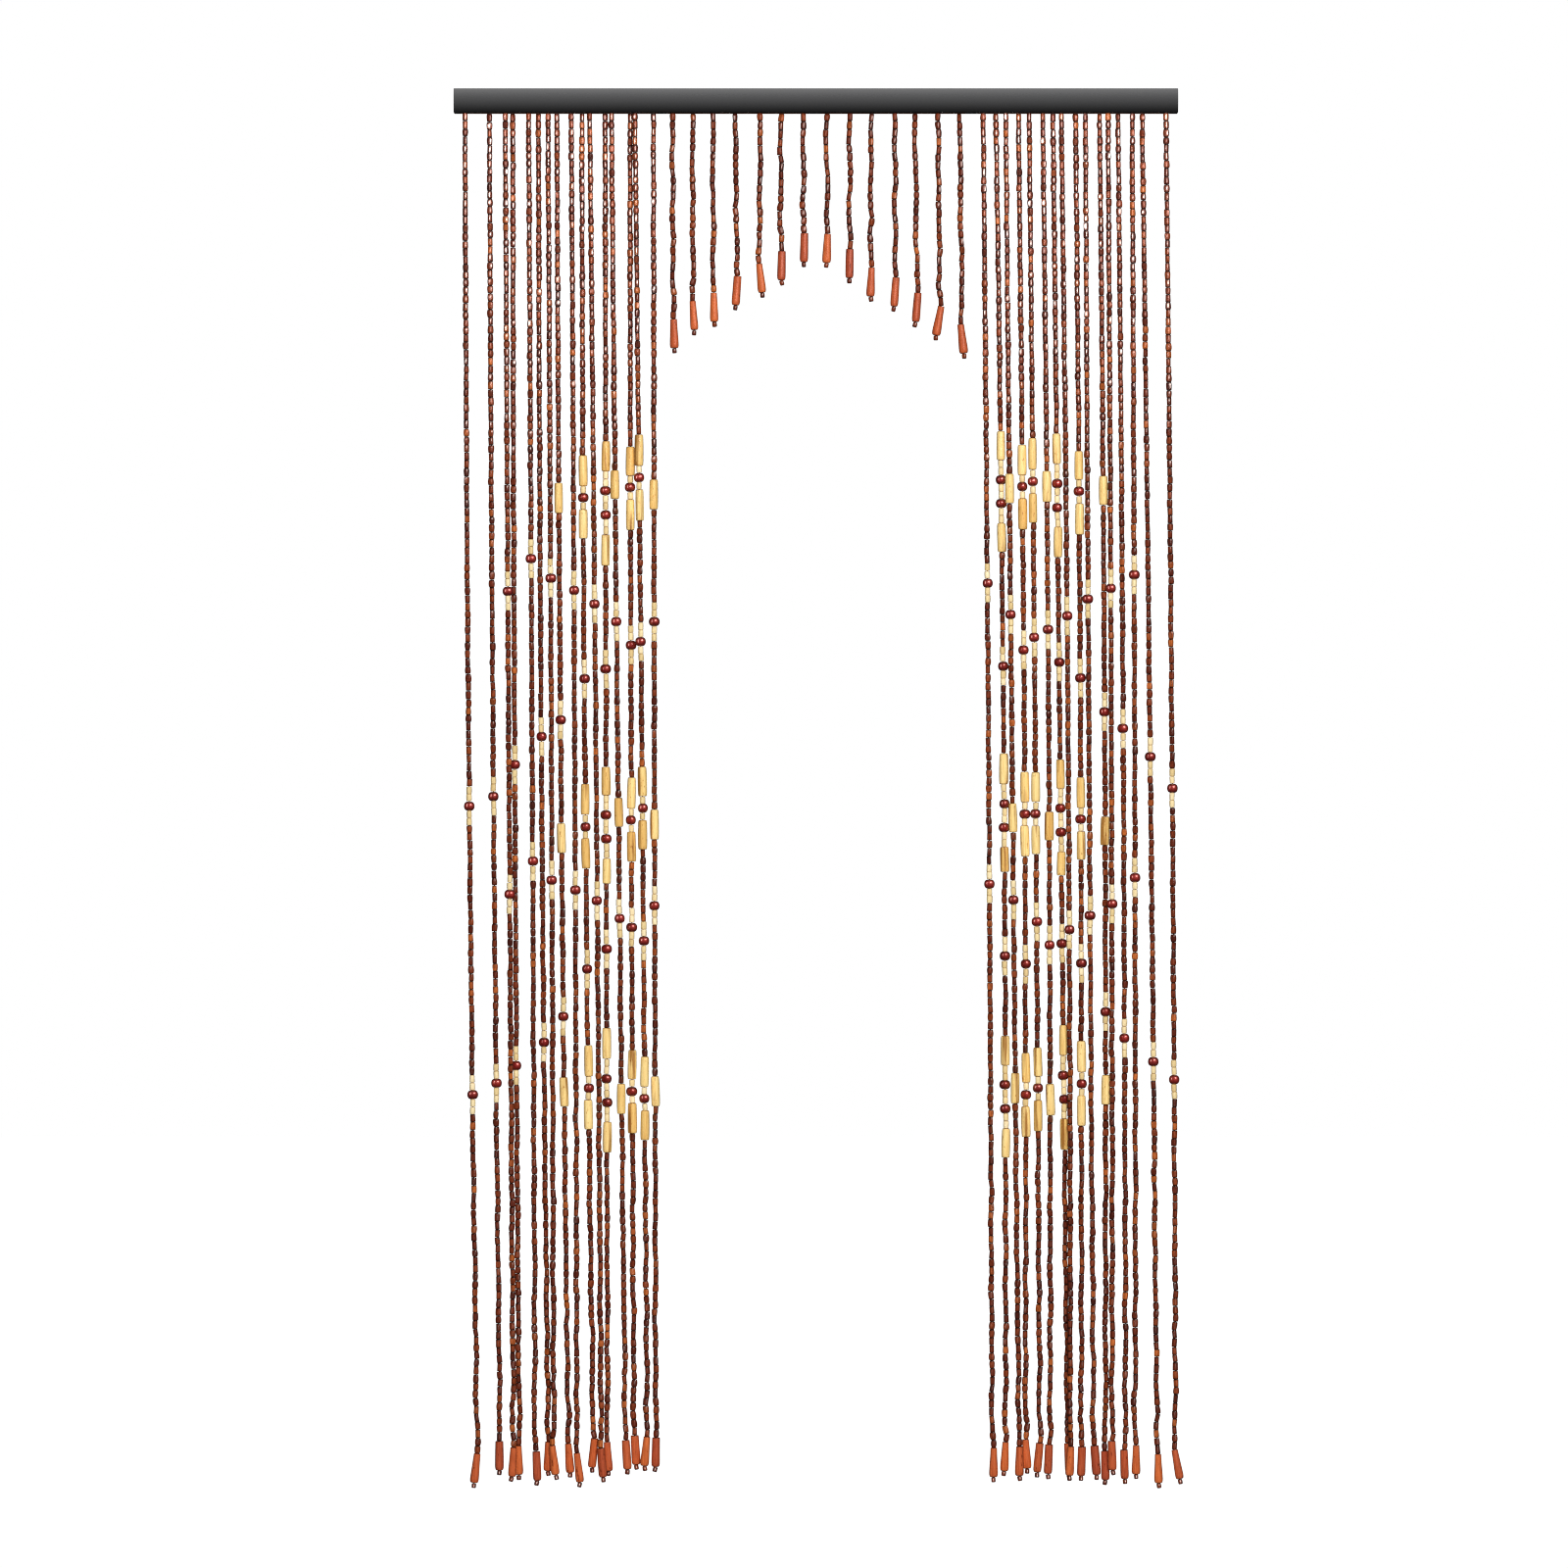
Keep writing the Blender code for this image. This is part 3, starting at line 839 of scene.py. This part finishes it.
def make_curtain(name, strands, materials, rng):
    """All the pieces of one group of strands: its beads joined by kind, its threads and its strip."""
    strung = [string_strand(strand, rng) for strand in strands]
    pieces = []
    for piece, kinds, slot in BATCHES:
        rows = (FRONT, BACK) if piece == "beads" and name in SPLIT_BY_ROW else (None,)
        for row in rows:
            beads = [
                bead
                for strand, line in zip(strands, strung, strict=True)
                for bead in line
                if bead.kind in kinds and row in (None, strand.row)
            ]
            if not beads:
                continue
            obj = bead_object(f"{name}_{ROW_LABELS[row]}{piece}", beads, rng)
            obj.data.materials.append(materials[slot])
            pieces.append((obj, slot))
    thread = thread_object(f"{name}_threads", strung)
    thread.data.materials.append(materials["thread"])
    pieces.append((thread, "thread"))
    pieces.append((make_strip(name, strands, materials["thread"]), "thread"))
    for obj, slot in pieces:
        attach(obj, "root")
        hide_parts(name)
    return [obj for obj, _ in pieces]


# The stage and the world beyond it
FLOOR_Z = -2.1
FLOOR_HALF = 20.0
WORLD_LIGHT = 0.04  # how strongly the world lights the scene, though it shows as white


def make_stage():
    """A plain white floor. The world is as white beyond it, so it has no visible edge."""
    corners = [(x, y, FLOOR_Z) for x, y in ((-1, -1), (1, -1), (1, 1), (-1, 1))]
    points = [(x * FLOOR_HALF, y * FLOOR_HALF, z) for x, y, z in corners]
    stage = mesh_object("stage", points, [(0, 1, 2, 3)])
    white = Material(
        "stage_white",
        Base_Color=(0.9, 0.9, 0.9, 1),
        Roughness=0.9,
        Emission_Color=(*WHITE, 1),
        Emission_Strength=1.0,
    )
    stage.data.materials.append(white.made)
    stage.visible_diffuse = False
    stage.visible_glossy = False


WARM = (1.0, 0.84, 0.76)
WIDE = math.pi
NARROW = math.radians(55)

# A "colour" light doesn't show in gloss, and a "gloss" light shows in nothing else. spread: the angle
# that the light fans out over. lit: the group of pieces that it falls on. The bands give the strands
# their soft gloss near their tops and feet, and the windows are what the round beads reflect.
Light = collections.namedtuple("Light", "name use place target size power tint spread lit")

LIGHTS = (
    Light("key", "colour", (0.5, -5.5, -0.2), (0, 0, -0.9), (2.6, 2.2), 420, WHITE, WIDE, "strung"),
    Light("upper", "colour", (0.2, -0.6, 0.3), (0, 0, -0.1), (1.6, 0.3), 1.5, WHITE, WIDE, "strung"),
    Light("rear", "colour", (0, 2.0, -0.9), (0, 0, -0.9), (0.6, 1.2), 25, WHITE, WIDE, "part"),
    Light("back_key", "colour", (0, 5.5, 0.6), (0, 0, -0.9), (2.6, 2.2), 250, WHITE, WIDE, "part"),
    Light("overhead", "both", (0, -0.9, 1.6), (0, 0, 0), (3.0, 0.8), 122, WHITE, WIDE, "rail"),
    Light("left_side", "colour", (-3.0, 0, 0.3), (0, 0, 0), (0.6, 0.6), 60, WHITE, WIDE, "rail"),
    Light("right_side", "colour", (3.0, 0, 0.3), (0, 0, 0), (0.6, 0.6), 60, WHITE, WIDE, "rail"),
    Light("glint", "gloss", (2.6, -3.6, 1.6), (0, 0, -0.9), (1.8, 1.8), 85, WARM, WIDE, "strung"),
    Light("left_band", "gloss", (-0.1, -1.0, 0.15), (-0.3, 0, 0.15), (2.8, 0.8), 26, WARM, NARROW, "left"),
    Light("right_band", "gloss", (0.5, -1.0, 0.15), (0.3, 0, 0.15), (2.8, 0.8), 26, WARM, NARROW, "right"),
    Light("arch_band", "gloss", (0.2, -1.0, 0.15), (0, 0, 0.15), (2.8, 0.8), 5, WARM, NARROW, "arch"),
    Light("foot_band", "gloss", (0.2, -1.2, -1.7), (0, 0, -1.7), (2.4, 0.5), 0.6, WARM, NARROW, "brown"),
    Light("end_glint", "gloss", (0.2, -1.2, -1.7), (0, 0, -1.7), (2.4, 0.5), 6, WARM, NARROW, "ends"),
    Light("window", "gloss", (2.6, -3.6, 1.6), (0, 0, -0.9), (3.0, 2.4), 400, WARM, WIDE, "round"),
    Light("side_window", "gloss", (-2.6, -1.8, 0), (0, 0, -0.9), (0.8, 2.4), 80, WARM, WIDE, "round"),
)


def add_light(light, groups):
    """A rectangular light that turns to its target and falls on its own group alone."""
    area = bpy.data.lights.new(light.name, "AREA")
    area.shape = "RECTANGLE"
    area.size, area.size_y = light.size
    area.energy = light.power
    area.color = light.tint
    area.spread = light.spread
    obj = bpy.data.objects.new(light.name, area)
    obj.location = light.place
    obj.rotation_euler = (Vector(light.target) - Vector(light.place)).to_track_quat("-Z", "Y").to_euler()
    obj.visible_camera = False
    obj.visible_glossy = light.use != "colour"
    obj.visible_diffuse = light.use != "gloss"
    bpy.context.scene.collection.objects.link(obj)
    obj.light_linking.receiver_collection = groups[light.lit]


def light_group(name, objs):
    """A collection that isn't in the scene, for lights to fall on."""
    group = bpy.data.collections.new(name)
    for obj in objs:
        group.objects.link(obj)
    return group


def make_world():
    """White where it shows, but with only a little light from all around."""
    world = bpy.context.scene.world or bpy.data.worlds.new("studio")
    bpy.context.scene.world = world
    world.use_nodes = True
    nodes, links = world.node_tree.nodes, world.node_tree.links
    dim = nodes["Background"]
    shown = nodes.new("ShaderNodeBackground")
    for background, strength in ((dim, WORLD_LIGHT), (shown, 1.0)):
        background.inputs["Color"].default_value = (*WHITE, 1)
        background.inputs["Strength"].default_value = strength
    choice = nodes.new("ShaderNodeMixShader")
    seen, when_hidden, when_seen = choice.inputs
    links.new(nodes.new("ShaderNodeLightPath").outputs["Is Camera Ray"], seen)
    links.new(dim.outputs["Background"], when_hidden)
    links.new(shown.outputs["Background"], when_seen)
    links.new(choice.outputs["Shader"], nodes["World Output"].inputs["Surface"])


def make_lights(rail, curtains):
    """The lights, each on the group of pieces that the table names."""
    strung = [obj for objs in curtains.values() for obj in objs]
    lit = {
        "rail": [rail],
        "strung": strung,
        "part": [rail] + strung,
        "left": curtains["curtain_left"],
        "right": curtains["curtain_right"],
        "arch": curtains["arch_left"] + curtains["arch_right"],
        "brown": [obj for obj in strung if obj.name.endswith(("front_beads", "back_beads"))],
        "ends": [obj for obj in strung if obj.name.endswith("end_beads")],
        "round": [obj for obj in strung if obj.name.endswith("round_beads")],
    }
    groups = {name: light_group(name, objs) for name, objs in lit.items()}
    for light in LIGHTS:
        add_light(light, groups)


# The photograph's frame, in its pixels, and the real size of one
PHOTO_SIZE = 1600
PHOTO_RAIL_WIDTH = 739
RAIL_WIDTH = 0.900
PIXEL = RAIL_WIDTH / PHOTO_RAIL_WIDTH
PHOTO_RAIL_MIDDLE_X = 832.5
PHOTO_RAIL_TOP_Y = 90.5
LENS = 200
SENSOR = 36
CAMERA_REACH = 60  # how far off things still show
FILTER_WIDTH = 1.0  # narrow, as the photograph's pixels are sharp


def make_camera():
    """A long lens, level and square to the rail, that frames the curtain as the photograph does."""
    camera = bpy.data.cameras.new("camera")
    camera.lens = LENS
    camera.sensor_width = SENSOR
    obj = bpy.data.objects.new("camera", camera)
    x = (PHOTO_SIZE / 2 - PHOTO_RAIL_MIDDLE_X) * PIXEL
    z = RAIL_TOP - (PHOTO_SIZE / 2 - PHOTO_RAIL_TOP_Y) * PIXEL
    distance = PHOTO_SIZE * PIXEL * LENS / SENSOR
    obj.location = (x, FRONT - distance, z)
    obj.rotation_euler = (math.pi / 2, 0, 0)
    camera.clip_end = CAMERA_REACH
    bpy.context.scene.collection.objects.link(obj)
    bpy.context.scene.camera = obj


def main():
    """Builds the pieces, the stage, the lights and the camera. The draws all come from one seed."""
    rng = np.random.default_rng(SEED)
    make_camera()
    materials = {
        "bead_brown": brown_wood(),
        "bead_cream": pale_wood(),
        "tube_tan": tan_wood(),
        "bead_round": maroon_lacquer(),
        "end_tube": red_wood(),
        "thread": dark_thread(),
    }
    rail = make_rail(rail_paint())
    curtains = {name: make_curtain(name, strands, materials, rng) for name, strands in CURTAINS.items()}
    make_stage()
    make_world()
    make_lights(rail, curtains)
    view = bpy.context.scene.view_settings
    view.view_transform = "Standard"
    view.look = "None"
    bpy.context.scene.cycles.filter_width = FILTER_WIDTH


main()
